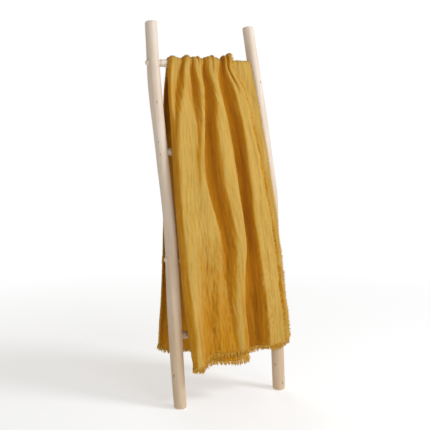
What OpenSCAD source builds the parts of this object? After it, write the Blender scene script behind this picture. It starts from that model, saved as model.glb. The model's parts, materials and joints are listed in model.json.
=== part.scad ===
// A double-gauze quilt, folded in half lengthwise and draped over the top rung of a leaning
// ladder rack made of two naturally crooked poles and four round rungs.
// Millimetres, +X to the right seen from the front, +Y towards the wall, +Z up.

/* [Ladder] */
// Length of each pole
pole_length = 1500; // [1440:10:1560]
// Diameter of a pole at its foot
pole_foot_d = 50; // [46:0.5:52]
// Diameter of a pole at its top end
pole_top_d = 47; // [44:0.5:50]
// Angle that the ladder leans back from upright
lean = 9.5; // [6:0.5:14]
// Rounding of the sawn ends of the poles
pole_end_round = 6; // [2:0.5:8]

/* [Rungs] */
// Diameter of a rung
rung_d = 30; // [26:0.5:32]
// Diameter of the tenon on each end of a rung
tenon_d = 20; // [18:0.5:25]
// Depth of a blind mortise, from the inner face of the pole
mortise_depth = 32; // [26:1:36]
// How far a through tenon stands out of the left pole
stub_length = 5; // [4:1:14]
// Heights of the rungs, measured along the ladder
rung_heights = [275, 571, 988, 1337];

/* [Quilt] */
// Thickness of the folded quilt, both layers together
quilt_t = 5; // [4:0.5:7]
// Thickness of the single lower layer that shows past the upper one
single_layer_t = 2.5; // [2:0.5:3.5]
// Length of the front drop at the folded edge
front_drop_left = 1180; // [1100:5:1200]
// Length of the front drop at the open edges
front_drop_right = 1150; // [1080:5:1180]
// Length of the back drop
back_drop = 1160; // [1080:5:1170]
// Depth of the tight pleats on the top rung
pleat_depth = 11; // [4:1:16]
// Depth of the broad folds low on each drop
fold_depth = 40; // [20:2:50]
// Length of the fringe
fringe_length = 18; // [10:1:22]
// Thickness of the fringe
fringe_t = 2; // [1:0.5:2.5]

/* [Hidden] */

// Centre lines of the crooked poles: [distance along the ladder, sideways place]
left_pole_line = [[0, -224], [400, -218], [720, -209], [960, -217], [1260, -228], [1500, -222]];
right_pole_line = [[0, 228], [300, 243], [600, 257], [790, 268], [1020, 252], [1260, 235],
                   [1500, 218]];
// Swellings of the poles: [distance along the ladder, extra radius]
left_girth = [[0, 0], [360, 1.8], [700, 0.3], [1020, 0.2], [1240, 2.1], [1360, 0.2], [1500, 0]];
right_girth = [[0, 0], [450, 1.2], [800, 0.2], [1150, 1.4], [1400, 0.2], [1500, 0]];
// Middle of the whole object across and in depth, which lies over the origin
side_centre = 18.5;
depth_centre = 117;

// Knots on the poles: [distance along the ladder, direction, height of the swelling]
left_knots = [[140, 250, 0.9], [640, 20, 1.2], [905, 200, 1.2], [1290, 300, 0.8]];
right_knots = [[210, 280, 0.9], [520, 120, 1.2], [820, 340, 1.2], [1180, 230, 0.8]];
// How far a knot's swelling reaches along the pole, and round it in degrees
knot_reach = 26;
knot_turn = 40;
// Each pole wanders this much in depth, and is this much out of round
depth_wander = 2;
out_of_round = 0.5;

pole_sides = 24;
pole_step = 36;
end_steps = [0, 0.35, 1, 2];
// Rings lower than this along the pole turn level with the floor
level_end = 180;

shoulder_overlap = 3;
shoulder_slope = 5;
tenon_chamfer = 2;
bore_runout = 10;
through_runout = 80;

screw_d = 4;
screw_head_d = 8;
screw_head_t = 3;
screw_length = 34;
screw_sink = 1.5;
counterbore_runout = 10;

// Sideways limits of the quilt: [distance below the top rung, place]
front_left_line = [[0, -174], [120, -189], [300, -193], [800, -197], [1200, -207]];
front_right_line = [[0, 184], [120, 202], [260, 226], [420, 241], [800, 258], [1200, 278]];
back_left_line = [[0, -174], [150, -180], [500, -186], [1000, -195], [1200, -203]];
back_right_line = [[0, 184], [150, 194], [500, 216], [1000, 234], [1200, 240]];

rung_gap = 1.2;
pole_clearance = 17;
// Places across where the quilt starts to stand clear of a pole, and where it does fully
left_lift = [-165, -188];
right_lift = [161, 188];
// Distances below the rung over which that begins, the pleats give way to folds, the folds deepen
lift_start = [20, 110];
pleats_to_folds = [30, 520];
folds_deepen = [200, 1100];
shallow_fold = 0.45;
pleats = 7;
folds = 4;
back_fold_phase = 120;
// Share of the quilt's width that the upper layer covers, and the step down to the lower one
upper_layer_edge = 0.93;
edge_step = 0.004;
// Step between the places that a normal is worked out from
normal_step = 0.004;
lower_layer_middle = (upper_layer_edge + 1) / 2;
drop_steps = 20;
arc_steps = 12;
across_steps = 32;
fringe_steps = 3;
wrap_angle = 180 - lean;
wrap_r = rung_d / 2 + rung_gap + quilt_t / 2;
top_rung = rung_heights[3];

function pole_r(s) = (pole_foot_d + (pole_top_d - pole_foot_d) * s / pole_length) / 2;

// A smooth curve through points [[x, y], ...], with its slope taken from each point's neighbours
function slope_at(line, i) =
    let (before = max(i - 1, 0), after = min(i + 1, len(line) - 1))
    (line[after][1] - line[before][1]) / (line[after][0] - line[before][0]);
function span_of(line, x, i = 0) =
    i >= len(line) - 2 || x < line[i + 1][0] ? i : span_of(line, x, i + 1);
function smooth(line, x) =
    let (i = span_of(line, x),
         width = line[i + 1][0] - line[i][0],
         t = min(max((x - line[i][0]) / width, 0), 1))
    line[i][1] * (2 * t * t * t - 3 * t * t + 1)
    + slope_at(line, i) * width * (t * t * t - 2 * t * t + t)
    + line[i + 1][1] * (3 * t * t - 2 * t * t * t)
    + slope_at(line, i + 1) * width * (t * t * t - t * t);
function ease(low, high, x) =
    let (t = min(max((x - low) / (high - low), 0), 1)) t * t * (3 - 2 * t);

// ---- poles ----

function pole_depth(s, side) = depth_wander * sin(s * 0.5 + 70 * side);
function turn_between(a, b) = abs((a - b + 540) % 360 - 180);
function knot_bump(knots, s, angle) =
    let (bumps = [for (k = knots)
        k[2] * exp(-pow((s - k[0]) / knot_reach, 2) - pow(turn_between(angle, k[1]) / knot_turn, 2))])
    bumps * [for (k = knots) 1];
function rounded_end(s) =
    let (from_end = min(s, pole_length - s) / pole_end_round)
    from_end >= 1 ? 0 : pole_end_round * (1 - sqrt(1 - pow(1 - from_end, 2)));
function pole_surface_r(girth, knots, s, angle, side) =
    pole_r(s) + smooth(girth, s) + out_of_round * sin(2 * angle + s * 0.4 + 90 * side)
    + knot_bump(knots, s, angle) - rounded_end(s);
// The rings near the foot lie level with the floor, and those above stand square to the ladder
function ring_tilt(s) = tan(lean) * (1 - ease(0, level_end, s));

module pole(line, girth, knots, side) {
    inner = [for (s = [2.5 * pole_end_round : pole_step : pole_length - 2.5 * pole_end_round]) s];
    ends = [for (e = end_steps) e * pole_end_round];
    rings = concat(ends, inner, [for (i = [len(ends) - 1 : -1 : 0]) pole_length - ends[i]]);
    points = [for (s = rings, k = [0 : pole_sides - 1])
        let (angle = 360 * k / pole_sides,
             r = pole_surface_r(girth, knots, s, angle, side),
             y = pole_depth(s, side) + r * sin(angle))
        [smooth(line, s) + r * cos(angle), y, s + y * ring_tilt(s)]];
    last = (len(rings) - 1) * pole_sides;
    sides = [for (i = [0 : len(rings) - 2], k = [0 : pole_sides - 1])
        let (a = i * pole_sides + k, b = i * pole_sides + (k + 1) % pole_sides)
        [a, a + pole_sides, b + pole_sides, b]];
    polyhedron(points, concat(
        [[for (k = [0 : pole_sides - 1]) k]],
        sides,
        [[for (k = [pole_sides - 1 : -1 : 0]) last + k]]), convexity = 4);
}

// Stands the ladder's own frame, in which Z runs along the poles, on the floor and leans it back
module leaning() {
    translate([-side_centre, -depth_centre, 0]) rotate([-lean, 0, 0]) children();
}

module along_x(x, s) {
    translate([x, 0, s]) rotate([0, 90, 0]) children();
}

function left_face(s) = smooth(left_pole_line, s) + pole_r(s);
function right_face(s) = smooth(right_pole_line, s) - pole_r(s);
// Rungs 2 and 4 go right through the left pole and stand out of it
function goes_through(i) = i == 1 || i == 3;
function rung_start(i) =
    let (s = rung_heights[i])
    goes_through(i) ? left_face(s) - 2 * pole_r(s) - stub_length : left_face(s) - mortise_depth;
function rung_end(i) = right_face(rung_heights[i]) + mortise_depth;

module screw_holes(line, side) {
    for (s = rung_heights) screw_at(smooth(line, s), s, side);
}

// A flat-headed screw driven through the back of a pole into a tenon
module screw_at(x, s, side) {
    back = pole_depth(s, side) + pole_r(s) - screw_sink;
    translate([x, back, s]) rotate([90, 0, 0]) {
        cylinder(d = screw_head_d, h = screw_head_t, $fn = 32);
        cylinder(d = screw_d, h = screw_length, $fn = 24);
    }
}

// Opens the counterbore out through the back of the pole
module counterbores(line, side) {
    for (s = rung_heights)
        translate([smooth(line, s), pole_depth(s, side) + pole_r(s) - screw_sink, s])
            rotate([-90, 0, 0]) cylinder(d = screw_head_d, h = counterbore_runout, $fn = 32);
}

module pole_left() {
    color("#e3d6c6") leaning() difference() {
        pole(left_pole_line, left_girth, left_knots, 0);
        for (i = [0 : 3]) {
            length = mortise_depth + (goes_through(i) ? through_runout : bore_runout);
            along_x(left_face(rung_heights[i]) + bore_runout - length, rung_heights[i])
                cylinder(d = tenon_d, h = length, $fn = 48);
        }
        screw_holes(left_pole_line, 0);
        counterbores(left_pole_line, 0);
    }
}

module pole_right() {
    color("#e3d6c6") leaning() difference() {
        pole(right_pole_line, right_girth, right_knots, 1);
        for (s = rung_heights)
            along_x(right_face(s) - bore_runout, s)
                cylinder(d = tenon_d, h = mortise_depth + bore_runout, $fn = 48);
        screw_holes(right_pole_line, 1);
        counterbores(right_pole_line, 1);
    }
}

// ---- rungs ----

module rung(i) {
    s = rung_heights[i];
    start = rung_start(i);
    tenon_r = tenon_d / 2;
    shoulder_left = left_face(s) - start + shoulder_overlap;
    shoulder_right = right_face(s) - start - shoulder_overlap;
    total = rung_end(i) - start;
    color("#dccbb6") leaning() difference() {
        along_x(start, s) rotate_extrude($fn = 48) polygon([
            [0, 0], [tenon_r - tenon_chamfer, 0], [tenon_r, tenon_chamfer],
            [tenon_r, shoulder_left], [rung_d / 2, shoulder_left + shoulder_slope],
            [rung_d / 2, shoulder_right - shoulder_slope], [tenon_r, shoulder_right],
            [tenon_r, total - tenon_chamfer], [tenon_r - tenon_chamfer, total], [0, total]]);
        screw_at(smooth(left_pole_line, s), s, 0);
        screw_at(smooth(right_pole_line, s), s, 1);
    }
}

module rung_1() { rung(0); }
module rung_2() { rung(1); }
module rung_3() { rung(2); }
module rung_4() { rung(3); }

module joint_screws() {
    color("#8c8a86") leaning() {
        for (s = rung_heights) {
            screw_at(smooth(left_pole_line, s), s, 0);
            screw_at(smooth(right_pole_line, s), s, 1);
        }
    }
}

// ---- quilt ----

// Height of the folds above the innermost surface: tight pleats on the rung, broad folds below
function fold_height(u, below, phase) =
    let (low = ease(pleats_to_folds[0], pleats_to_folds[1], below),
         deep = ease(folds_deepen[0], folds_deepen[1], below),
         pleat = pleat_depth * (0.5 - 0.5 * cos(360 * pleats * u)),
         fold = fold_depth * (0.5 - 0.5 * cos(360 * folds * pow(u, 0.9) + phase)))
    pleat * (1 - low) + fold * low * (shallow_fold + (1 - shallow_fold) * deep);

// The parts of the quilt beside or past a pole stand further out, clear of the pole
function pole_lift(x) =
    pole_clearance * (1 - ease(left_lift[1], left_lift[0], x) + ease(right_lift[0], right_lift[1], x));

// Middle surface of the quilt in the ladder's frame. Part 0 is the front drop, 1 is the arc over
// the rung, 2 is the back drop; t runs from the rung down each drop, or over the arc.
function front_length(u) = front_drop_left + (front_drop_right - front_drop_left) * u;
function front_point(u, below) =
    let (x = smooth(front_left_line, below)
             + u * (smooth(front_right_line, below) - smooth(front_left_line, below)),
         lift = pole_lift(x) * ease(lift_start[0], lift_start[1], below),
         out = wrap_r + fold_height(u, below, 0) + lift)
    [x, -out, top_rung - below];
function arc_point(u, angle) =
    let (x = front_left_line[0][1] + u * (front_right_line[0][1] - front_left_line[0][1]),
         out = wrap_r + fold_height(u, 0, 0))
    [x, -out * cos(angle), top_rung + out * sin(angle)];
function back_point(u, below) =
    let (x = smooth(back_left_line, below)
             + u * (smooth(back_right_line, below) - smooth(back_left_line, below)),
         out = wrap_r + fold_height(u, below, back_fold_phase))
    [x, out * cos(lean) + below * sin(lean), top_rung + out * sin(lean) - below * cos(lean)];
function quilt_point(u, v) =
    v < 0 ? front_point(u, -v * front_length(u))
    : v <= 1 ? arc_point(u, v * wrap_angle)
    : back_point(u, (v - 1) * back_drop);

function unit(a) = a / norm(a);
function quilt_normal(u, v) =
    let (e = normal_step,
         across = quilt_point(min(u + e, 1), v) - quilt_point(max(u - e, 0), v),
         along = quilt_point(u, v + e) - quilt_point(u, v - e))
    unit(cross(across, along));
function layer_t(u) = u <= upper_layer_edge ? quilt_t : single_layer_t;
function inner_point(u, v) = quilt_point(u, v) - quilt_normal(u, v) * quilt_t / 2;
function outer_point(u, v) =
    quilt_point(u, v) + quilt_normal(u, v) * (layer_t(u) - quilt_t / 2);

// A closed sheet from two grids of points with rows of the same length: inner is the face
// towards the ladder, outer is the face that shows
module sheet(inner, outer) {
    rows = len(inner);
    cols = len(inner[0]);
    count = rows * cols;
    grid = [for (i = [0 : rows - 2], j = [0 : cols - 2]) let (a = i * cols + j)
        [[a, a + 1, a + cols], [a + 1, a + cols + 1, a + cols]]];
    faces = concat(
        [for (pair = grid, f = pair) f],
        [for (pair = grid, f = pair) [f[2] + count, f[1] + count, f[0] + count]],
        [for (j = [0 : cols - 2]) each [[j, j + count, j + 1], [j + 1, j + count, j + 1 + count]]],
        [for (j = [0 : cols - 2]) let (a = (rows - 1) * cols + j)
            each [[a, a + 1, a + count], [a + 1, a + 1 + count, a + count]]],
        [for (i = [0 : rows - 2]) let (a = i * cols)
            each [[a, a + cols, a + count], [a + cols, a + cols + count, a + count]]],
        [for (i = [0 : rows - 2]) let (a = i * cols + cols - 1)
            each [[a, a + count, a + cols], [a + cols, a + count, a + cols + count]]]);
    points = concat([for (row = inner) each row], [for (row = outer) each row]);
    polyhedron(points, faces, convexity = 20);
}

across = concat(
    [for (j = [0 : across_steps]) upper_layer_edge * j / across_steps],
    [upper_layer_edge + edge_step, lower_layer_middle, 1]);
down_front = [for (i = [0 : drop_steps - 1]) -1 + i / drop_steps];
over_rung = [for (i = [0 : arc_steps]) i / arc_steps];
down_back = [for (i = [1 : drop_steps]) 1 + i / drop_steps];

module quilt() {
    stations = concat(down_front, over_rung, down_back);
    color("#c99a45") leaning() sheet(
        [for (v = stations) [for (u = across) inner_point(u, v)]],
        [for (v = stations) [for (u = across) outer_point(u, v)]]);
}

// The fringe carries on past the end of the quilt, at the middle of its thickness
module fringe(v_end, length) {
    lengths = [for (i = [0 : fringe_steps]) v_end + (v_end < 0 ? -1 : 1) * i * length / fringe_steps];
    stations = v_end < 0 ? [for (i = [fringe_steps : -1 : 0]) lengths[i]] : lengths;
    color("#c08d38") leaning() sheet(
        [for (v = stations) [for (u = across) quilt_point(u, v)
            + quilt_normal(u, v_end) * (layer_t(u) - quilt_t - fringe_t) / 2]],
        [for (v = stations) [for (u = across) quilt_point(u, v)
            + quilt_normal(u, v_end) * (layer_t(u) - quilt_t + fringe_t) / 2]]);
}

module front_fringe() { fringe(-1, fringe_length / front_drop_left); }
module back_fringe() { fringe(2, fringe_length / back_drop); }

pole_left();
pole_right();
rung_1();
rung_2();
rung_3();
rung_4();
joint_screws();
quilt();
front_fringe();
back_fringe();
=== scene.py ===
"""A crinkled cotton quilt, folded lengthwise and draped over the top rung of a leaning wooden ladder."""

import json
import math

import bpy
import numpy as np
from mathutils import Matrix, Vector


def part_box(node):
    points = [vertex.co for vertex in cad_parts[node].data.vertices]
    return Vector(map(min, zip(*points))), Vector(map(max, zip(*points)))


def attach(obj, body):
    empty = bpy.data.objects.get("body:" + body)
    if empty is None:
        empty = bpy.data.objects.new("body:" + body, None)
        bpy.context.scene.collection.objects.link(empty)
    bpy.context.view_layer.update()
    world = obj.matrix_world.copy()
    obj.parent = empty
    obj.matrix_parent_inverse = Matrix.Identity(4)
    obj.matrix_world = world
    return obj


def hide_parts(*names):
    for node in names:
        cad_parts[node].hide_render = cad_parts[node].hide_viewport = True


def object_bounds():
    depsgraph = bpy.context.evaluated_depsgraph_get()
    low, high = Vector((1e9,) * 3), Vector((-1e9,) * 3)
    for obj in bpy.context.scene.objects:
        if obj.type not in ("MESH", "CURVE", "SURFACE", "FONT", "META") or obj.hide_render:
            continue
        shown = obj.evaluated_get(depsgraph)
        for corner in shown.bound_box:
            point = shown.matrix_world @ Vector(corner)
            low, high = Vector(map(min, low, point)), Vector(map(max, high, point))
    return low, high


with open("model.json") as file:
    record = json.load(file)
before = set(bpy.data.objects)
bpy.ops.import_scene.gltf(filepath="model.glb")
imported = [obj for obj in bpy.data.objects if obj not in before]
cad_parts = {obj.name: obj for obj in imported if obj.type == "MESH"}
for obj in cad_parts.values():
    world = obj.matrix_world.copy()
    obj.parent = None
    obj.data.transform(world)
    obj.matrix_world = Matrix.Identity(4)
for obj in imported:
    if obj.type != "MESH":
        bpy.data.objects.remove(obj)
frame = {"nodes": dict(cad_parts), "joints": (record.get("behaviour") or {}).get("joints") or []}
cad_low, cad_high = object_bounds()
scene = bpy.context.scene
MM = 0.001
TINY = 1e-12

# ------------------------ camera
CAMERA_AZIMUTH = -28.53
CAMERA_ELEVATION = 6.93
CAMERA_DISTANCE = 3.174
CAMERA_LENS = 66.98
SENSOR_WIDTH = 36
LOOK_OFFSET = Vector((-0.0365, -0.0170, -0.0173))


def direction_to(azimuth, elevation):
    """Unit vector away from the object, from degrees: azimuth 0 is in front of it and 90 on its right."""
    azimuth, elevation = math.radians(azimuth), math.radians(elevation)
    return Vector((math.sin(azimuth) * math.cos(elevation),
                   -math.cos(azimuth) * math.cos(elevation),
                   math.sin(elevation)))


def facing(direction):
    """Rotation of a camera or light that stands in that direction and looks back."""
    return (-direction).to_track_quat("-Z", "Y").to_euler()


def add_camera():
    direction = direction_to(CAMERA_AZIMUTH, CAMERA_ELEVATION)
    data = bpy.data.cameras.new("camera")
    data.lens = CAMERA_LENS
    data.sensor_width = SENSOR_WIDTH
    camera = bpy.data.objects.new("camera", data)
    camera.location = (cad_low + cad_high) / 2 + LOOK_OFFSET + direction * CAMERA_DISTANCE
    camera.rotation_euler = facing(direction)
    scene.collection.objects.link(camera)
    scene.camera = camera


add_camera()

# ------------------------ the ladder's frame
# The quilt is laid out in millimetres: x across the ladder, "out" away from the top rung's axis,
# and a path coordinate that runs up the front drop to 0, over the rung to ARC and down the back drop.
rung_low, rung_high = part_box("rung_4")
QUILT_MIDDLE_X = -1.5 * MM
RUNG_CENTRE = np.array([QUILT_MIDDLE_X,
                        (rung_low.y + rung_high.y) / 2,
                        (rung_low.z + rung_high.z) / 2])
RUNG_RADIUS = (rung_high.y - rung_low.y) / 2 / MM
ladder_up = np.array(frame["joints"][0]["axis"], float)
ladder_up /= np.linalg.norm(ladder_up)
ladder_front = np.array([0.0, -ladder_up[2], ladder_up[1]])
LEAN = math.atan2(ladder_up[1], ladder_up[2])
WRAP_ANGLE = math.pi - LEAN
WRAP_RADIUS = 21
ARC = WRAP_RADIUS * WRAP_ANGLE


def place(x, out, path):
    """World points in metres, from x, out and path in millimetres. The front drop follows the ladder's
    lean and the back drop hangs straight down."""
    angle = np.clip(path / WRAP_RADIUS, 0, WRAP_ANGLE)
    hang_front = np.minimum(path, 0)
    hang_back = np.maximum(path - ARC, 0)
    toward = np.cos(angle)[..., None] * ladder_front + np.sin(angle)[..., None] * ladder_up
    points = RUNG_CENTRE + MM * (out[..., None] * toward + hang_front[..., None] * ladder_up)
    points[..., 0] += MM * x
    points[..., 2] -= MM * hang_back
    return points


# ------------------------ smooth random fields
LATTICE_CELLS = 256
LATTICE_SHIFT = 100


def lattice_noise(across, along, cell_across, cell_along, seed):
    """Smooth random values from -1 to 1 with the given cell size."""
    grid = np.random.RandomState(seed).uniform(-1, 1, (LATTICE_CELLS, LATTICE_CELLS))
    u = across / cell_across + LATTICE_SHIFT
    v = along / cell_along + LATTICE_SHIFT
    i = np.floor(u).astype(int)
    j = np.floor(v).astype(int)
    s = u - i
    t = v - j
    s = s * s * s * (s * (6 * s - 15) + 10)
    t = t * t * t * (t * (6 * t - 15) + 10)
    i0, i1 = i % LATTICE_CELLS, (i + 1) % LATTICE_CELLS
    j0, j1 = j % LATTICE_CELLS, (j + 1) % LATTICE_CELLS
    low = grid[i0, j0] * (1 - s) + grid[i1, j0] * s
    high = grid[i0, j1] * (1 - s) + grid[i1, j1] * s
    return low * (1 - t) + high * t


def ease(value, low, high):
    """0 below low, 1 above high, and a smooth step between."""
    t = np.clip((value - low) / (high - low), 0, 1)
    return t * t * (3 - 2 * t)


def band(value, start, full, fade, end):
    """1 from full to fade, 0 before start and after end, and smooth steps between."""
    return ease(value, start, full) * (1 - ease(value, fade, end))


# ------------------------ fold lines
# Each line runs the length of the quilt. At every station it has (x across, out) in millimetres: first the
# front stations from the hem upwards, then the one on top of the rung, then the back stations downwards.
FRONT_STATIONS = (-1190, -950, -700, -450, -250, -100, 0)
BACK_STATIONS = (ARC, ARC + 100, ARC + 300, ARC + 600, ARC + 900, ARC + 1160)
STATIONS = FRONT_STATIONS + (ARC / 2,) + BACK_STATIONS
FOLD_LINES = {
    "left_fold": (
        (-190, 44), (-206, 34), (-210, 32), (-207, 30), (-201, 28), (-199, 28), (-187, 20),
        (-177, 21),
        (-176, 21), (-184, 26), (-189, 24), (-193, 22), (-202, 24), (-219, 26)),
    "a_crest": (
        (-195, 54), (-206, 46), (-209, 45), (-204, 42), (-195, 39), (-193, 42), (-176, 30),
        (-163, 26),
        (-158, 26), (-160, 38), (-168, 46), (-172, 48), (-182, 50), (-198, 50)),
    "a_valley": (
        (-194, 66), (-202, 57), (-208, 59), (-205, 54), (-189, 48), (-166, 25), (-134, 20),
        (-122, 20),
        (-126, 20), (-132, 22), (-140, 24), (-142, 24), (-150, 27), (-162, 30)),
    "b_crest": (
        (-182, 75), (-185, 71), (-197, 71), (-198, 66), (-179, 57), (-141, 52), (-119, 36),
        (-98, 30),
        (-100, 30), (-104, 42), (-108, 52), (-108, 56), (-112, 56), (-116, 56)),
    "b_valley": (
        (-138, 47), (-135, 43), (-128, 56), (-126, 56), (-93, 40), (-90, 23), (-88, 20),
        (-76, 20),
        (-76, 20), (-76, 24), (-74, 26), (-72, 28), (-70, 32), (-68, 32)),
    "c_crest": (
        (-97, 45), (-98, 46), (-82, 60), (-102, 64), (-76, 55), (-71, 52), (-70, 36),
        (-52, 27),
        (-54, 28), (-50, 40), (-44, 48), (-36, 52), (-34, 54), (-30, 55)),
    "c_edge": (
        (-64, 59), (-65, 58), (-38, 59), (-86, 62), (-66, 53), (-54, 48), (-54, 31),
        (-40, 25),
        (-42, 26), (-36, 37), (-26, 45), (-14, 49), (-8, 51), (-4, 51)),
    "c_tuck": (
        (-56, 61), (-55, 56), (-33, 44), (-91, 42), (-70, 36), (-56, 32), (-46, 22),
        (-32, 21),
        (-34, 22), (-28, 28), (-22, 32), (-10, 34), (-2, 38), (4, 38)),
    "valley_1": (
        (-28, 68), (-46, 54), (-24, 34), (-83, 22), (-64, 21), (-49, 21), (-36, 20),
        (-24, 20),
        (-26, 20), (-20, 22), (-12, 22), (2, 22), (8, 26), (14, 28)),
    "d_foot": (
        (-6, 73), (-25, 57), (-4, 38), (-36, 25), (-38, 24), (-29, 23), (-28, 22),
        (-14, 22),
        (-14, 22), (-6, 26), (6, 28), (20, 28), (24, 32), (30, 34)),
    "d_crest": (
        (5, 79), (-8, 72), (19, 74), (-9, 70), (-16, 62), (-9, 56), (-17, 38),
        (4, 30),
        (4, 31), (12, 44), (26, 52), (42, 56), (46, 56), (52, 56)),
    "d_edge": (
        (36, 77), (41, 76), (64, 73), (54, 61), (38, 56), (17, 50), (22, 37),
        (34, 29),
        (34, 29), (36, 40), (50, 48), (66, 52), (72, 53), (78, 53)),
    "d_tuck": (
        (44, 54), (45, 54), (63, 50), (49, 40), (34, 36), (14, 33), (34, 23),
        (44, 22),
        (44, 22), (46, 28), (58, 32), (72, 34), (80, 38), (88, 38)),
    "valley_2": (
        (62, 22), (60, 20), (68, 24), (56, 25), (43, 21), (23, 21), (46, 20),
        (52, 20),
        (52, 20), (54, 22), (66, 22), (82, 22), (90, 26), (98, 26)),
    "e_foot": (
        (112, 30), (108, 26), (100, 26), (90, 25), (82, 23), (56, 23), (53, 24),
        (61, 23),
        (62, 24), (66, 26), (80, 28), (96, 30), (104, 34), (112, 34)),
    "e_crest": (
        (148, 68), (144, 72), (123, 73), (115, 71), (104, 64), (80, 58), (58, 42),
        (69, 32),
        (72, 31), (82, 44), (98, 52), (114, 56), (122, 56), (130, 56)),
    "e_valley": (
        (174, 54), (168, 59), (156, 62), (145, 61), (125, 58), (96, 52), (64, 32),
        (76, 27),
        (84, 24), (98, 30), (118, 36), (136, 40), (144, 42), (150, 42)),
    "e_pleat": (
        (196, 53), (193, 57), (181, 60), (162, 61), (138, 58), (104, 56), (69, 49),
        (86, 38),
        (96, 31), (112, 39), (136, 47), (156, 51), (164, 51), (170, 51)),
    "outer_edge": (
        (216, 48), (217, 49), (202, 50), (178, 52), (149, 50), (116, 50), (77, 51),
        (96, 45),
        (110, 31), (126, 36), (150, 42), (172, 44), (182, 44), (188, 44)),
    "strip_step": (
        (230, 38), (229, 33), (214, 32), (196, 31), (172, 29), (148, 28), (98, 25),
        (112, 23),
        (122, 22), (136, 24), (160, 28), (182, 30), (192, 32), (198, 32)),
    "strip_middle": (
        (243, 40), (242, 36), (230, 35), (212, 33), (191, 31), (168, 30), (142, 25),
        (148, 22),
        (150, 23), (158, 27), (178, 32), (198, 34), (206, 36), (212, 36)),
    "right_edge": (
        (258, 40), (255, 37), (246, 36), (231, 36), (212, 32), (190, 31), (183, 24),
        (178, 22),
        (177, 22), (181, 25), (198, 28), (208, 28), (215, 30), (219, 30)),
}
NAMES = list(FOLD_LINES)
OUTER_LINES = NAMES[:NAMES.index("outer_edge") + 1]

# Where the two layers end in front and behind: (x across, length down the drop) in millimetres.
FRONT_END_OUTER = ((-200, 1186), (-160, 1186), (-140, 1168), (-105, 1142), (-70, 1146),
                   (-15, 1148), (37, 1142), (62, 1146), (90, 1144), (124, 1139), (171, 1144),
                   (216, 1137))
FRONT_END_INNER = ((-200, 1186), (-160, 1188), (-140, 1180), (-108, 1170), (-70, 1178),
                   (-15, 1183), (37, 1168), (62, 1152), (80, 1146), (124, 1141), (171, 1147),
                   (231, 1138), (258, 1130))
BACK_END_OUTER = ((-222, 1130), (-190, 1150), (-120, 1172), (-40, 1164), (60, 1152),
                  (130, 1160), (200, 1148))
BACK_END_INNER = ((-222, 1130), (-190, 1154), (-120, 1177), (-40, 1168), (60, 1158),
                  (130, 1150), (220, 1152))

# The cloth's build, in millimetres. HALF_GAP is from the folded cloth's middle to either layer's middle,
# EDGE_INSET is (x, out), and LIMIT_SOFTNESS is in square millimetres.
HALF_GAP = 2.3
CLOTH_THICKNESS = 1.3
EDGE_INSET = (-3, -5)
CLEAR_OF_RUNG = 4.5
CLEAR_OF_POLE = 11.5
POLE_ACROSS = (178, 206)
LIMIT_SOFTNESS = 1.2
LEAST_ABOVE_RUNG = 1.2

# How finely the layers are sampled. Steps, reaches and drops are in millimetres, blurs in samples.
# END_SAMPLE is the sample of the path, counted from either end, whose x decides where the cloth ends.
PATH_START = -1215
PATH_END = ARC + 1180
PATH_STEP = 4.0
SECTION_SAMPLES = 440
SAMPLES_PER_SPAN = 24
SHORTEST_SPAN = 0.05
SECTION_BLUR = 1.7
ROW_BLUR = 4
ROW_STEP = 6.0
RUNG_ROW_STEP = 3.5
RUNG_ROWS_REACH = 36
FRONT_ROWS_DROP = 1160
BACK_ROWS_DROP = 1140
STRETCHED_ROWS = 260
OUTER_STEP = 3.0
INNER_STEP = 7.0
SHOWN_INNER_MARGIN = 16
END_SAMPLE = 6
FOLD_TURNS = 5
FOLD_BULGE = 1.5
FOLD_HALF_WIDTH = 2

# Random fields over the cloth: (cell across, cell along, seed), with the cells in millimetres. The
# crinkle's own fields count up from a seed for each layer, 1 for the upper and -1 for the lower.
FOLD_WANDER = (90, 210, 11)
BROAD_FOLDS = (30, 300, 12)
NARROW_FOLDS = (14, 210, 13)
RUNG_GATHERS = (10, 150, 14)
SWAY = (90, 150, 15)
EDGE_CURL = (400, 38, 16)
PLEAT_WANDER = (45, 110, 17)
PLEAT_STRENGTH = (22, 55, 18)
BACK_SWELL = (70, 330, 19)
EDGE_PATCHES = (30, 34, 20)
TONE_PATCHES = (16, 60, 21)
CRINKLE_SEEDS = {1: 40, -1: 60}

# Parts of the cloth, in millimetres. ACROSS is measured along the folds from the left-hand fold and BELOW
# down the front drop. Four numbers are where a part starts, is full, begins to fade and ends; two numbers
# are where it starts and is full.
SLACK_ACROSS = (74, 100, 200, 245)
SLACK_BELOW = (520, 820)
CRUMPLED_ACROSS = (392, 415, 450, 480)
CRUMPLED_BELOW = (700, 840)
TAUT_ACROSS = (25, 45, 105, 130)
TAUT_BELOW = (20, 60, 170, 240)
HOLLOW_ACROSS = (300, 330, 375, 405)
HOLLOW_BELOW = (780, 1150)
SHADED_FOLD_ACROSS = (225, 250, 285, 310)
SHADED_FOLD_BELOW = (640, 1000)
LOW_DROP_BELOW = (480, 1150)
FLAT_STRIP_ACROSS = (440, 475)
BACK_PATH = (ARC + 60, ARC + 400)
INNER_BACK_PATH = (60, ARC + 100)
NEAR_RUNG = (70, 180)
EDGE_SHADOW_BEYOND = (-30, -14, 18, 38)
WRINKLES_ACROSS = (0, 30)
SWAY_ACROSS = (0, 60)
WEAVE_ACROSS = (0, 12)

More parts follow.
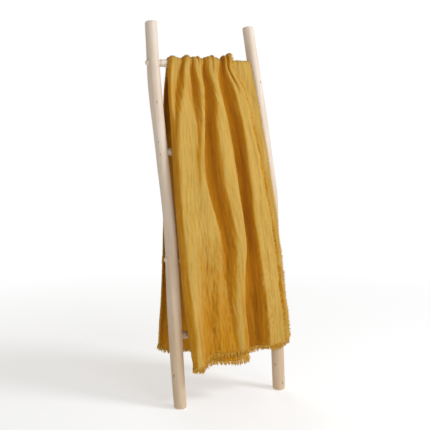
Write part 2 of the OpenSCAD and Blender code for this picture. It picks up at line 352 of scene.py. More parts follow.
# Heights of the small folds and of the crinkle, in millimetres, and shares that change them.
WANDER = 9.0
BROAD_HEIGHT = 1.5
NARROW_HEIGHT = 0.9
GATHER_HEIGHT = 4.2
GATHER_REACH = 110
STRIP_FLATNESS = 0.85
PLEAT_WIDTH = 11
PLEAT_SLANT = 0.10
PLEAT_SHIFT = 1.3
PLEAT_RISE = 0.75
PLEAT_HEIGHT = 1.3
PLEAT_HEIGHT_CHANGE = 0.9
SWAY_FRONT = 3.0
SWAY_BACK = 9.0
SWELL_BACK = 0.45
TAUT_FLATNESS = 0.75
CRINKLE_WANDER = 6
CREASE_HEIGHT = 0.85
RICH_CREASE_HEIGHT = 0.80
SLACK_CREASE_LOSS = 0.6
SHORT_CREASE_HEIGHT = 2.2
FINE_HEIGHT = 0.35
RICH_FINE_HEIGHT = 0.35
SLACK_FINE_HEIGHT = 0.8
CELL_HEIGHT = 1.10
SLACK_CELL_LOSS = 0.65
CROSS_HEIGHT = 3.2
RICH_BELOW = (450, 900)
RICH_GAIN = 0.9
RICH_RANGE = (0.1, 1.0)
CURL_HEIGHT = 7.0
CURL_WIDTH = 22
CURL_LOSS_AT_RUNG = 0.8

# Painted shade on the cloth, kept as a tone for its material: 0 on the lit ridges, 1 in the shaded folds
# and above 1 in the deepest one, which is painted darker still.
# DEEPEST is in millimetres, RIDGE_FALL in millimetres for each square millimetre across.
RIDGE_FALL = 0.010
DEEPEST = 30.0
STEEP_RANGE = (0.04, 0.34)
FACES_LEFT_RANGE = (0.16, 0.52)
SIDE_TONE = 0.7
SLACK_TONE = 0.30
LOW_SLACK_TONE = 0.40
SHADED_FOLD_TONE = 0.50
PATCH_TONE = 0.10
SLACK_PATCH_LOSS = 0.06
TONE_BLUR = 1.5
BACK_TONE_LOSS = 0.55
CRINKLE_SHADE = 0.05
LOW_HOLLOW_SHADE = 0.50
INNER_BACK_SHADE = 0.8
EDGE_TONE = 0.85
EDGE_TONE_CHANGE = 0.7


def along_stations(values, path):
    """Smooth curve through the stations for every fold line: (rows, lines, 2)."""
    stations = np.array(STATIONS, float)
    values = np.array(values, float)
    slopes = np.gradient(values, stations, axis=0)
    k = np.clip(np.searchsorted(stations, path) - 1, 0, len(stations) - 2)
    width = stations[k + 1] - stations[k]
    t = np.clip((path - stations[k]) / width, 0, 1)
    t, width = t[:, None, None], width[:, None, None]
    a, b = values[k], values[k + 1]
    ma, mb = slopes[k] * width, slopes[k + 1] * width
    return ((2 * t**3 - 3 * t**2 + 1) * a + (t**3 - 2 * t**2 + t) * ma
            + (3 * t**2 - 2 * t**3) * b + (t**3 - t**2) * mb)


def through_points(points, per_span):
    """Centripetal Catmull-Rom curve through each row's points: (rows, samples, 2)."""
    first = 2 * points[:, :1] - points[:, 1:2]
    last = 2 * points[:, -1:] - points[:, -2:-1]
    p = np.concatenate([first, points, last], axis=1)
    gaps = np.sqrt(np.maximum(np.linalg.norm(np.diff(p, axis=1), axis=2), SHORTEST_SPAN))
    knots = np.concatenate([np.zeros((len(p), 1)), np.cumsum(gaps, axis=1)], axis=1)
    pieces = []
    for i in range(1, p.shape[1] - 2):
        t0, t1, t2, t3 = (knots[:, i + d, None, None] for d in (-1, 0, 1, 2))
        p0, p1, p2, p3 = (p[:, i + d, None, :] for d in (-1, 0, 1, 2))
        t = t1 + (t2 - t1) * (np.arange(per_span) / per_span)[None, :, None]
        a1 = (t1 - t) / (t1 - t0) * p0 + (t - t0) / (t1 - t0) * p1
        a2 = (t2 - t) / (t2 - t1) * p1 + (t - t1) / (t2 - t1) * p2
        a3 = (t3 - t) / (t3 - t2) * p2 + (t - t2) / (t3 - t2) * p3
        b1 = (t2 - t) / (t2 - t0) * a1 + (t - t0) / (t2 - t0) * a2
        b2 = (t3 - t) / (t3 - t1) * a2 + (t - t1) / (t3 - t1) * a3
        pieces.append((t2 - t) / (t2 - t1) * b1 + (t - t1) / (t2 - t1) * b2)
    pieces.append(points[:, -1:])
    return np.concatenate(pieces, axis=1)


def even_samples(curves, fractions):
    """Each row's curve at the given fractions of its length, and the rows' lengths."""
    steps = np.linalg.norm(np.diff(curves, axis=1), axis=2)
    length = np.concatenate([np.zeros((len(curves), 1)), np.cumsum(steps, axis=1)], axis=1)
    result = np.empty((len(curves), len(fractions), 2))
    for row in range(len(curves)):
        at = fractions * length[row, -1]
        for axis in range(2):
            result[row, :, axis] = np.interp(at, length[row], curves[row, :, axis])
    return result, length[:, -1]


def blurred(values, sigma, axis):
    """Gaussian blur along an axis that keeps both ends where they are."""
    reach = int(math.ceil(3 * sigma))
    kernel = np.exp(-0.5 * (np.arange(-reach, reach + 1) / sigma) ** 2)
    kernel /= kernel.sum()
    values = np.moveaxis(values, axis, 0)
    first = 2 * values[:1] - values[reach:0:-1]
    last = 2 * values[-1:] - values[-2:-reach - 2:-1]
    padded = np.concatenate([first, values, last])
    result = sum(k * padded[i:i + len(values)] for i, k in enumerate(kernel))
    return np.moveaxis(result, 0, axis)


def floor_out(x):
    """How far out the folded cloth's middle has to stay, to clear the rungs and the right-hand pole."""
    return RUNG_RADIUS + CLEAR_OF_RUNG + CLEAR_OF_POLE * ease(x, *POLE_ACROSS)


def base_sections(names, path, lower_edge):
    """The folded cloth's middle line at each row, evenly sampled: (rows, samples, 2). Also the rows'
    lengths. The lower layer passes a little inside the upper layer's edge."""
    values = np.array([FOLD_LINES[n] for n in names], float).transpose(1, 0, 2)
    if lower_edge:
        at = names.index("outer_edge")
        values[:, at] += EDGE_INSET
    controls = along_stations(values, path)
    curves = through_points(controls, SAMPLES_PER_SPAN)
    fractions = np.linspace(0, 1, SECTION_SAMPLES)
    curves, _ = even_samples(curves, fractions)
    curves = blurred(curves, SECTION_BLUR, axis=1)
    curves = blurred(curves, ROW_BLUR, axis=0)
    return even_samples(curves, fractions)


def fold_wrinkles(across, path):
    """Folds too small for the fold lines, in millimetres, shared by both layers."""
    wander = WANDER * lattice_noise(across, path, *FOLD_WANDER)
    broad = BROAD_HEIGHT * lattice_noise(across + wander, path, *BROAD_FOLDS)
    narrow = NARROW_HEIGHT * lattice_noise(across + 2 * wander, path, *NARROW_FOLDS)
    near_rung = np.exp(-np.abs(path - ARC / 2) / GATHER_REACH)
    gathers = GATHER_HEIGHT * near_rung * lattice_noise(across + wander, path, *RUNG_GATHERS)
    return broad + narrow + gathers * (1 - STRIP_FLATNESS * ease(across, *FLAT_STRIP_ACROSS))


def slackness(across, path):
    """1 in the slack cloth between the folds low on the front drop, and 0 elsewhere."""
    return band(across, *SLACK_ACROSS) * ease(-path, *SLACK_BELOW)


def slack_pleats(across, path):
    """Saw-toothed pleats in the slack cloth: slow rises and quick falls."""
    shift = PLEAT_SHIFT * lattice_noise(across, path, *PLEAT_WANDER)
    phase = (across + PLEAT_SLANT * path) / PLEAT_WIDTH + shift
    saw = phase - np.floor(phase)
    rise = np.where(saw < PLEAT_RISE, saw / PLEAT_RISE, (1 - saw) / (1 - PLEAT_RISE)) - 0.5
    height = PLEAT_HEIGHT + PLEAT_HEIGHT_CHANGE * lattice_noise(across, path, *PLEAT_STRENGTH)
    return slackness(across, path) * height * rise


def crumpled(across, path):
    """1 where short cross wrinkles cover the cloth, low on the front drop beside the last fold."""
    return band(across, *CRUMPLED_ACROSS) * ease(-path, *CRUMPLED_BELOW)


def taut(across, path):
    """1 where the cloth is pulled smooth, just below the rung beside the left fold."""
    return band(across, *TAUT_ACROSS) * band(-path, *TAUT_BELOW)


def crinkle(across, path, seed):
    """The crinkled weave's own relief, in millimetres: long thin ridges, short ones in the slack cloth,
    small cells lower down and cross wrinkles where the cloth is crumpled."""
    wander = CRINKLE_WANDER * lattice_noise(across, path, 70, 150, seed)
    slack = slackness(across, path)
    below = np.maximum(-path, path - ARC)
    patchy = lattice_noise(across, path, 80, 200, seed + 4) + RICH_GAIN * ease(below, *RICH_BELOW)
    rich = np.maximum(ease(patchy, *RICH_RANGE), slack)

    def field(cell_across, cell_along, number, wander_share=1.0):
        shifted = across + wander_share * wander
        return lattice_noise(shifted, path, cell_across, cell_along, seed + number)

    long_creases = 1 - 2 * np.abs(field(7.5, 90, 1))
    short_creases = 1 - 2 * np.abs(field(8.5, 34, 6, wander_share=0.5))
    long_height = (CREASE_HEIGHT + RICH_CREASE_HEIGHT * rich) * (1 - SLACK_CREASE_LOSS * slack)
    fine_height = FINE_HEIGHT + RICH_FINE_HEIGHT * rich + SLACK_FINE_HEIGHT * slack
    cell_height = CELL_HEIGHT * rich * (1 - SLACK_CELL_LOSS * slack)
    cross_height = CROSS_HEIGHT * crumpled(across, path)
    ridges = long_height * long_creases + SHORT_CREASE_HEIGHT * slack * short_creases
    fine = fine_height * field(4.0, 22, 2)
    cells = cell_height * field(7.5, 11.0, 3)
    cross = cross_height * field(12.0, 8.5, 5, wander_share=0.0)
    return ridges + fine + cells + cross


def fold_shade(folded, normal):
    """Painted shade: 0 on the ridges, 1 deep in the folds and up to SIDE_TONE on steep sides and on sides
    that face left, away from the key light. Depth is measured below the highest of the parabolas that
    stand on every place in the row."""
    depth = np.empty(folded.shape[:2])
    for row, (x, out) in enumerate(zip(folded[..., 0], folded[..., 1])):
        ridges = out[None, :] - RIDGE_FALL * (x[:, None] - x[None, :]) ** 2
        depth[row] = ridges.max(axis=1) - out
    steep = ease(1 - np.abs(normal[..., 1]), *STEEP_RANGE)
    faces_left = ease(-normal[..., 0], *FACES_LEFT_RANGE)
    shade = np.maximum(depth / DEEPEST, SIDE_TONE * steep)
    return np.clip(np.maximum(shade, SIDE_TONE * faces_left), 0, 1)


def low_hollow(across, path):
    """1 in the deep fold between the last two ridges, low on the front drop, where more shade is painted.
    """
    return band(across, *HOLLOW_ACROSS) * ease(-path, *HOLLOW_BELOW)


def edge_shadow(folded, across, rows, path):
    """Up to 1 on the lower layer close beside the upper layer's frayed edge."""
    edge = np.array([FOLD_LINES["outer_edge"]], float).transpose(1, 0, 2)
    beyond = folded[..., 0] - along_stations(edge, path)[:, :, 0]
    patchy = EDGE_TONE + EDGE_TONE_CHANGE * lattice_noise(across, rows, *EDGE_PATCHES)
    return np.clip(patchy, 0, 1) * band(beyond, *EDGE_SHADOW_BEYOND)


def section_normals(curves):
    """Unit normals of each row's curve, in the plane of x and out."""
    tangent = np.gradient(curves, axis=1)
    tangent /= np.linalg.norm(tangent, axis=2, keepdims=True)
    return np.stack([-tangent[..., 1], tangent[..., 0]], axis=2)


def keep_clear(folded):
    """Lifts the folded cloth's middle off the rungs and the right-hand pole, with a soft limit."""
    low = floor_out(folded[..., 0])
    above = folded[..., 1] - low
    folded[..., 1] = low + 0.5 * (above + np.sqrt(above**2 + LIMIT_SOFTNESS))


def edge_curl(across, rows, width):
    """How far the upper layer's free edge curls up, in millimetres: less where it crosses the rung."""
    near_rung = 1 - ease(np.abs(rows - ARC / 2), *NEAR_RUNG)
    curl = 0.5 + 0.5 * lattice_noise(across, rows, *EDGE_CURL)
    height = CURL_HEIGHT * (1 - CURL_LOSS_AT_RUNG * near_rung)
    return height * curl * ease(across, width - CURL_WIDTH, width)


def painted_cloth_shade(folded, normal, across, rows, weave):
    """The painted shade shared by both layers: in the folds, on steep and left-facing sides, in the slack
    cloth low down, in the crinkle's hollows and the deepest fold, and lighter on the back drop.
    """
    slack = slackness(across, rows)
    slack_tone = (SLACK_TONE + LOW_SLACK_TONE * ease(-rows, *LOW_DROP_BELOW)) * slack
    shaded_fold = band(across, *SHADED_FOLD_ACROSS) * ease(-rows, *SHADED_FOLD_BELOW)
    patches = lattice_noise(across, rows, *TONE_PATCHES)
    shade = np.maximum(fold_shade(folded, normal), slack_tone)
    shade += SHADED_FOLD_TONE * shaded_fold
    shade += (PATCH_TONE - SLACK_PATCH_LOSS * slack) * patches
    tone = blurred(shade, TONE_BLUR, axis=1) * (1 - BACK_TONE_LOSS * ease(rows, *BACK_PATH))
    # Painted shade: darker in the crinkle's hollows and in the deepest fold.
    return tone - CRINKLE_SHADE * weave + LOW_HOLLOW_SHADE * low_hollow(across, rows)


def layer_sections(names, path, side):
    """One layer's rows as (x, out, painted shade), and each sample's distance across from the left-hand
    fold.
    side is 1 for the upper layer, which is the outer one, and -1 for the lower, inner one."""
    curves, lengths = base_sections(names, path, lower_edge=side < 0)
    width = lengths.mean()
    rows, across = np.meshgrid(path, np.linspace(0, 1, SECTION_SAMPLES) * width, indexing="ij")
    wrinkles = fold_wrinkles(across, rows) * ease(across, *WRINKLES_ACROSS)
    shift = wrinkles + slack_pleats(across, rows)
    folded = curves + section_normals(curves) * shift[..., None]
    on_back = ease(rows, *BACK_PATH)
    sway = (SWAY_FRONT + SWAY_BACK * on_back) * lattice_noise(across, rows, *SWAY)
    folded[..., 0] += sway * ease(across, *SWAY_ACROSS)
    swell = 1 + SWELL_BACK * on_back * lattice_noise(across, rows, *BACK_SWELL)
    folded[..., 1] = WRAP_RADIUS + (folded[..., 1] - WRAP_RADIUS) * swell
    keep_clear(folded)
    normal = section_normals(folded)
    weave = crinkle(across, rows, CRINKLE_SEEDS[side]) * ease(across, *WEAVE_ACROSS)
    weave *= 1 - TAUT_FLATNESS * taut(across, rows)
    relief = weave + edge_curl(across, rows, width) if side > 0 else weave
    layer = folded + normal * (side * HALF_GAP + relief)[..., None]
    layer[..., 1] = np.maximum(layer[..., 1], RUNG_RADIUS + LEAST_ABOVE_RUNG)
    tone = painted_cloth_shade(folded, normal, across, rows, weave)
    if side < 0:
        # Painted shade on the lower layer's inside face over the back drop, and a painted shadow beside
        # the upper layer's frayed edge.
        tone = np.maximum(tone, INNER_BACK_SHADE * ease(rows, *INNER_BACK_PATH))
        tone = np.maximum(tone, edge_shadow(folded, across, rows, path))
    return np.concatenate([layer, tone[..., None]], axis=2), across[0]


def end_paths(x, ends, sign):
    """Path coordinate of the cloth's end at each x. sign is -1 on the front drop and 1 on the back."""
    xs, below = np.array(ends, float).T
    length = np.interp(x, xs, below)
    return -length if sign < 0 else ARC + length


def row_paths(front_end, back_end):
    """Path coordinates of the rows for each column: rows crowd near the rung and stretch at the ends."""
    front = np.arange(-FRONT_ROWS_DROP, -RUNG_ROWS_REACH, ROW_STEP)
    over = np.arange(-RUNG_ROWS_REACH, ARC + RUNG_ROWS_REACH, RUNG_ROW_STEP)
    back = np.arange(ARC + RUNG_ROWS_REACH, ARC + BACK_ROWS_DROP, ROW_STEP)
    nominal = np.concatenate([front, over, back])
    pull_front = (1 - ease(nominal, nominal[0], nominal[0] + STRETCHED_ROWS))[:, None]
    pull_back = ease(nominal, nominal[-1] - STRETCHED_ROWS, nominal[-1])[:, None]
    return (nominal[:, None] + pull_front * (front_end - nominal[0])[None, :]
            + pull_back * (back_end - nominal[-1])[None, :])


def sample_layer(layer, path, fractions, wanted):
    """The layer at given fractions across (columns) and path coordinates (rows, columns)."""
    at = fractions * (SECTION_SAMPLES - 1)
    left = np.clip(at.astype(int), 0, SECTION_SAMPLES - 2)
    share = (at - left)[None, :, None]
    columns = layer[:, left] * (1 - share) + layer[:, left + 1] * share
    result = np.empty(wanted.shape + (3,))
    for c in range(len(fractions)):
        for axis in range(3):
            result[:, c, axis] = np.interp(wanted[:, c], path, columns[:, c, axis])
    return result


def layer_rows(layer, fractions, front_ends, back_ends):
    """Path coordinates of a layer's rows, which run from its front end to its back end."""
    at = np.clip((fractions * (SECTION_SAMPLES - 1)).astype(int), 0, SECTION_SAMPLES - 1)
    x_front = layer[END_SAMPLE, at, 0]
    x_back = layer[-END_SAMPLE, at, 0]
    return row_paths(end_paths(x_front, front_ends, -1), end_paths(x_back, back_ends, 1))


def left_fold(inner_grid, outer_grid):
    """The columns that turn round the left-hand fold from the lower layer to the upper."""
    middle = (inner_grid[:, -1, :2] + outer_grid[:, 0, :2]) / 2
    reach = (outer_grid[:, 0, :2] - inner_grid[:, -1, :2]) / 2
    side = np.stack([-reach[:, 1], reach[:, 0]], axis=1)
    angles = np.pi * (np.arange(FOLD_TURNS) + 1) / (FOLD_TURNS + 1)
    turned = (middle[:, None] - np.cos(angles)[None, :, None] * reach[:, None]
              + np.sin(angles)[None, :, None] * side[:, None] * FOLD_BULGE)
    tone = np.repeat(outer_grid[:, :1, 2:], FOLD_TURNS, axis=1)
    return np.concatenate([turned, tone], axis=2)


def build_quilt_surface():
    """Middle surface of the whole cloth as one grid, from the lower layer's right edge round the
    left-hand fold to the upper layer's right edge. Returns the points in metres and, for the material,
    each point's (distance across, path, painted shade). Covered cloth of the lower layer has fewer
    columns."""
    path = np.arange(PATH_START, PATH_END, PATH_STEP)
    outer, outer_across = layer_sections(OUTER_LINES, path, 1)
    inner, inner_across = layer_sections(NAMES, path, -1)
    outer_width, inner_width = outer_across[-1], inner_across[-1]
    covered = np.arange(OUTER_STEP, outer_width - SHOWN_INNER_MARGIN, INNER_STEP)
    shown = np.arange(covered[-1] + OUTER_STEP, inner_width, OUTER_STEP)
    inner_at = np.concatenate([covered, shown, [inner_width]])[::-1] / inner_width
    outer_at = np.append(np.arange(OUTER_STEP, outer_width, OUTER_STEP), outer_width) / outer_width

    inner_rows = layer_rows(inner, inner_at, FRONT_END_INNER, BACK_END_INNER)
    outer_rows = layer_rows(outer, outer_at, FRONT_END_OUTER, BACK_END_OUTER)
    fold_rows = np.repeat(inner_rows[:, -1:], FOLD_TURNS, axis=1)
    inner_grid = sample_layer(inner, path, inner_at, inner_rows)
    outer_grid = sample_layer(outer, path, outer_at, outer_rows)
    grid = np.concatenate([inner_grid, left_fold(inner_grid, outer_grid), outer_grid], axis=1)
    rows = np.concatenate([inner_rows, fold_rows, outer_rows], axis=1)
    fold_width = np.linspace(-FOLD_HALF_WIDTH, FOLD_HALF_WIDTH, FOLD_TURNS)
    width = np.concatenate([-inner_at * inner_width, fold_width, outer_at * outer_width])
    width = np.broadcast_to(width, rows.shape)
    points = place(grid[..., 0], grid[..., 1], rows)
    return points, np.stack([width * MM, rows * MM, grid[..., 2]], axis=2)


def grid_normals(points):
    """Unit normals that point away from the ladder on the outer layer."""
    along = np.gradient(points, axis=0)
    across = np.gradient(points, axis=1)
    normal = np.cross(across, along)
    return normal / np.maximum(np.linalg.norm(normal, axis=2, keepdims=True), TINY)


def new_mesh_object(name, vertices, faces):
    """A smooth-shaded mesh from an array of points and an array of triangles or of quads."""
    mesh = bpy.data.meshes.new(name)
    mesh.vertices.add(len(vertices))
    mesh.vertices.foreach_set("co", np.asarray(vertices, np.float32).ravel())
    corners = faces.shape[1]
    mesh.loops.add(faces.size)
    mesh.loops.foreach_set("vertex_index", faces.astype(np.int32).ravel())
    mesh.polygons.add(len(faces))
    mesh.polygons.foreach_set("loop_start", np.arange(0, faces.size, corners, dtype=np.int32))
    mesh.polygons.foreach_set("use_smooth", np.full(len(faces), True))
    mesh.update(calc_edges=True)
    mesh.validate()
    thing = bpy.data.objects.new(name, mesh)
    scene.collection.objects.link(thing)
    return thing


def add_quilt(points, place_on_cloth):
    """The cloth as one closed mesh: the middle surface moved both ways, and joined round the rim."""
    normal = grid_normals(points)
    half = CLOTH_THICKNESS / 2 * MM
    count_r, count_c = points.shape[:2]
    front = (points + normal * half).reshape(-1, 3)
    back = (points - normal * half).reshape(-1, 3)
    number = np.arange(count_r * count_c).reshape(count_r, count_c)
    a, b, c, d = number[:-1, :-1], number[:-1, 1:], number[1:, 1:], number[1:, :-1]
    top = np.stack([a, b, c, d], axis=-1).reshape(-1, 4)
    bottom = top[:, ::-1] + len(front)
    rim = np.concatenate([number[0, :], number[1:, -1], number[-1, -2::-1], number[-2:0:-1, 0]])
    after = np.roll(rim, -1)
    sides = np.stack([after, rim, rim + len(front), after + len(front)], axis=-1)
    quilt = new_mesh_object("quilt_cloth", np.concatenate([front, back]),
                            np.concatenate([top, bottom, sides]))
    attribute = quilt.data.attributes.new("cloth_place", "FLOAT_VECTOR", "POINT")
    both_sides = np.tile(place_on_cloth.reshape(-1, 3), (2, 1))
    attribute.data.foreach_set("vector", both_sides.astype(np.float32).ravel())
    return quilt


# ------------------------ loose yarns
# Lengths are in millimetres and shares have no unit. Radii run from a yarn's root to its tip.
FRINGE_LENGTH = 19.0
FRINGE_SPACING = 1.10
FRINGE_TUFTS = 14.0
YARN_RADII = np.array([0.80, 1.40, 1.45, 1.15, 0.60]) * MM
SIDE_YARN_RADII = np.array([0.80, 1.15, 1.05, 0.80, 0.40]) * MM
TUBE_SIDES = 3
ROOT_DEPTH = 1.6
YARN_SCATTER = 0.35
TUFT_STEPS = (0.6, 1.5)
TUFT_REACH = 0.7
TUFT_PULL = 0.8
TUFT_CURVE = 0.9
YARN_LENGTHS = (0.80, 1.10)
LENGTH_WAVE = 0.25
LENGTH_WAVELENGTH = 37.0
YARN_CURL = 0.16
CURL_TURN = 3.0
LEAN_SHARE = 0.6
SIDEWAYS_STEP = 1.5
PRESSED_SHARE = 0.75
PRESSED_REACH = 50.0


def thread_mesh(name, routes, radii):
    """Many thin closed tubes as one mesh. In metres: routes is (threads, points, 3), radii (points,)."""
    threads, count = routes.shape[:2]
    tangent = np.gradient(routes, axis=1)
    tangent /= np.maximum(np.linalg.norm(tangent, axis=2, keepdims=True), TINY)
    helper = np.where(np.abs(tangent[..., :1]) < 0.8, [1.0, 0.0, 0.0], [0.0, 1.0, 0.0])
    first = np.cross(tangent, helper)
    first /= np.linalg.norm(first, axis=2, keepdims=True)
    second = np.cross(tangent, first)
    angle = 2 * np.pi * np.arange(TUBE_SIDES) / TUBE_SIDES
    ring = np.cos(angle)[:, None] * first[:, :, None] + np.sin(angle)[:, None] * second[:, :, None]
    vertices = (routes[:, :, None] + ring * radii[:, None, None]).reshape(-1, 3)
    number = np.arange(threads * count * TUBE_SIDES).reshape(threads, count, TUBE_SIDES)
    here, there = number[:, :-1], number[:, 1:]
    quads = np.stack([here, np.roll(here, -1, axis=2), np.roll(there, -1, axis=2), there], axis=-1)
    quads = quads.reshape(-1, 4)
    walls = np.concatenate([quads[:, [0, 1, 2]], quads[:, [0, 2, 3]]])
    caps = np.concatenate([number[:, 0, ::-1], number[:, -1]])
    return new_mesh_object(name, vertices, np.concatenate([walls, caps]))


def edge_frame(edge, inside):
    """The direction off the cloth at each point of an edge, and the distance along it in millimetres."""
    outward = edge - inside
    outward /= np.linalg.norm(outward, axis=1, keepdims=True)
    distance = np.concatenate([[0], np.cumsum(np.linalg.norm(np.diff(edge, axis=0), axis=1))])
    return outward, distance / MM


def fray(edge, inside, spacing, length, clump, seed, spread=0.15, over_rung=False):
    """Routes of the loose yarns along an edge, drawn together into small tufts. An edge that crosses
    over the rung has its yarns pressed short there."""
    outward, distance = edge_frame(edge, inside)
    rng = np.random.RandomState(seed)
    count = int(distance[-1] / spacing)
    scatter = rng.uniform(-YARN_SCATTER, YARN_SCATTER, count) * spacing
    at = (np.arange(count) + 0.5) * spacing + scatter
    tufts = np.cumsum(rng.uniform(*TUFT_STEPS, int(distance[-1] / clump * 2)) * clump)
    pull = tufts[np.argmin(np.abs(at[:, None] - tufts[None, :]), axis=1)] - at
    pull = np.clip(pull, -TUFT_REACH * clump, TUFT_REACH * clump)

    def along(values, where):
        return np.stack([np.interp(where, distance, values[:, k]) for k in range(3)], axis=1)

    start = along(edge, at)
    direction = along(outward, at)
    sideways = along(edge, at + SIDEWAYS_STEP) - along(edge, at - SIDEWAYS_STEP)
    sideways /= np.maximum(np.linalg.norm(sideways, axis=1, keepdims=True), TINY)
    bend = np.cross(direction, sideways)
    wave = 1 + LENGTH_WAVE * np.sin(at / LENGTH_WAVELENGTH)
    reach = length * rng.uniform(*YARN_LENGTHS, count) * wave
    if over_rung:
        highest = distance[np.argmax(edge[:, 2])]
        reach *= 1 - PRESSED_SHARE * np.exp(-((at - highest) / PRESSED_REACH) ** 2)
    swing = rng.normal(0, spread, count)
    lean_out = rng.normal(0, spread * LEAN_SHARE, count)
    curl = rng.normal(0, YARN_CURL, count)
    routes = []
    for t in np.linspace(0, 1, len(YARN_RADII)):
        forward = -ROOT_DEPTH + (reach + ROOT_DEPTH) * t
        aside = pull * TUFT_PULL * t**TUFT_CURVE + reach * (swing * t + curl * np.sin(CURL_TURN * t))
        off = reach * lean_out * t * t
        step = forward[:, None] * direction + aside[:, None] * sideways + off[:, None] * bend
        routes.append(start + MM * step)
    return np.stack(routes, axis=1)


surface, cloth_place = build_quilt_surface()
quilt = add_quilt(surface, cloth_place)

front_routes = fray(surface[0], surface[3], FRINGE_SPACING, FRINGE_LENGTH, FRINGE_TUFTS, seed=5)
back_routes = fray(surface[-1], surface[-4], FRINGE_SPACING, FRINGE_LENGTH, FRINGE_TUFTS, seed=6)
outer_side = fray(surface[:, -1], surface[:, -3], spacing=2.1, length=12.0, clump=17.0, seed=7,
                  spread=0.45, over_rung=True)
inner_side = fray(surface[:, 0], surface[:, 2], spacing=1.7, length=6.0, clump=11.0, seed=8,
                  spread=0.35)
side_routes = np.concatenate([outer_side, inner_side])
front_fringe = thread_mesh("front_edge_fringe", front_routes, YARN_RADII)
back_fringe = thread_mesh("back_edge_fringe", back_routes, YARN_RADII)
side_fray = thread_mesh("side_edge_fray", side_routes, SIDE_YARN_RADII)


# ------------------------ materials
WHITE = (1.0, 1.0, 1.0)
BLACK = (0.0, 0.0, 0.0)
# Lit and shaded copies of the cotton: the ridge colours are the lit colour, the hollow colours painted
# shade, and the deep colour darker painted shade for the deepest fold. The cloth's tone picks between
# them.
LIT_RIDGE_COLOURS = ((0.625, 0.402, 0.092), (0.665, 0.430, 0.104))
SHADED_HOLLOW_COLOURS = ((0.605, 0.272, 0.011), (0.640, 0.296, 0.016))
DEEP_SHADE_COLOUR = (0.38, 0.145, 0.006)
YARN_COLOURS = ((0.66, 0.37, 0.045), (0.76, 0.46, 0.080))
LIT_RIDGE_TONES = (0.75, 0.15)
DEEP_SHADE_TONES = (1.0, 1.5)
PALE_WOOD = (0.83, 0.745, 0.655)
WARM_POLE_WOOD = (0.76, 0.64, 0.52)
WARM_RUNG_WOOD = (0.78, 0.66, 0.53)
DARK_WOOD = (0.42, 0.29, 0.19)
# Tint for the wood low down: painted shade and painted warm bounce light from the quilt.
LOW_SHADE_WOOD = (0.87, 0.78, 0.64)


def new_material(name):
    material = bpy.data.materials.new(name)
    material.use_nodes = True
    tree = material.node_tree
    return material, tree, tree.nodes["Principled BSDF"]


def set_inputs(made, **inputs):
    """Sets a node's inputs by name, with an underscore for each space."""
    for name, value in inputs.items():
        made.inputs[name.replace("_", " ")].default_value = value


def node(tree, kind, **inputs):
    made = tree.nodes.new(kind)
    set_inputs(made, **inputs)
    return made


def grey(value):
    return (value, value, value)


def mapped(tree, source, scale, rotation=(0, 0, 0)):
    mapping = node(tree, "ShaderNodeMapping", Scale=scale, Rotation=rotation)
    tree.links.new(source, mapping.inputs["Vector"])
    return mapping.outputs["Vector"]


def noise(tree, vector, scale, detail=2.0, roughness=0.5):
    """Noise with its own scale along each axis."""
    made = node(tree, "ShaderNodeTexNoise", Scale=1.0, Detail=detail, Roughness=roughness)
    tree.links.new(mapped(tree, vector, scale), made.inputs["Vector"])
    return made.outputs["Fac"]


def ramp(tree, value, *stops):
    """Colours blended between stops, each of which is (position, colour)."""
    made = tree.nodes.new("ShaderNodeValToRGB")
    for element, (position, colour) in zip(made.color_ramp.elements, stops):
        element.position = position
        element.color = (*colour, 1)
    tree.links.new(value, made.inputs["Fac"])
    return made.outputs["Color"]


def share_between(tree, value, zero_at, one_at, kind="LINEAR"):
    """0 where the value is zero_at or beyond, 1 where it is one_at or beyond, and a blend between them."""
    made = node(tree, "ShaderNodeMapRange", From_Min=zero_at, From_Max=one_at)
    made.interpolation_type = kind
    tree.links.new(value, made.inputs["Value"])
    return made.outputs["Result"]


def mix_colour(tree, share, first, second, blend="MIX"):
    """Mix of two colours. Each value is a node's output or a constant."""
    made = tree.nodes.new("ShaderNodeMix")
    made.data_type = "RGBA"
    made.blend_type = blend
    for name, value in (("Factor", share), ("A", first), ("B", second)):
        socket = made.inputs[name]
        if isinstance(value, bpy.types.NodeSocket):
            tree.links.new(value, socket)
        elif isinstance(value, tuple):
            socket.default_value = (*value, 1)
        else:
            socket.default_value = value
    return next(o for o in made.outputs if o.type == "RGBA")


def bump(tree, height, strength, distance, normal=None):
    made = node(tree, "ShaderNodeBump", Strength=strength, Distance=distance)
    tree.links.new(height, made.inputs["Height"])
    if normal is not None:
        tree.links.new(normal, made.inputs["Normal"])
    return made.outputs["Normal"]


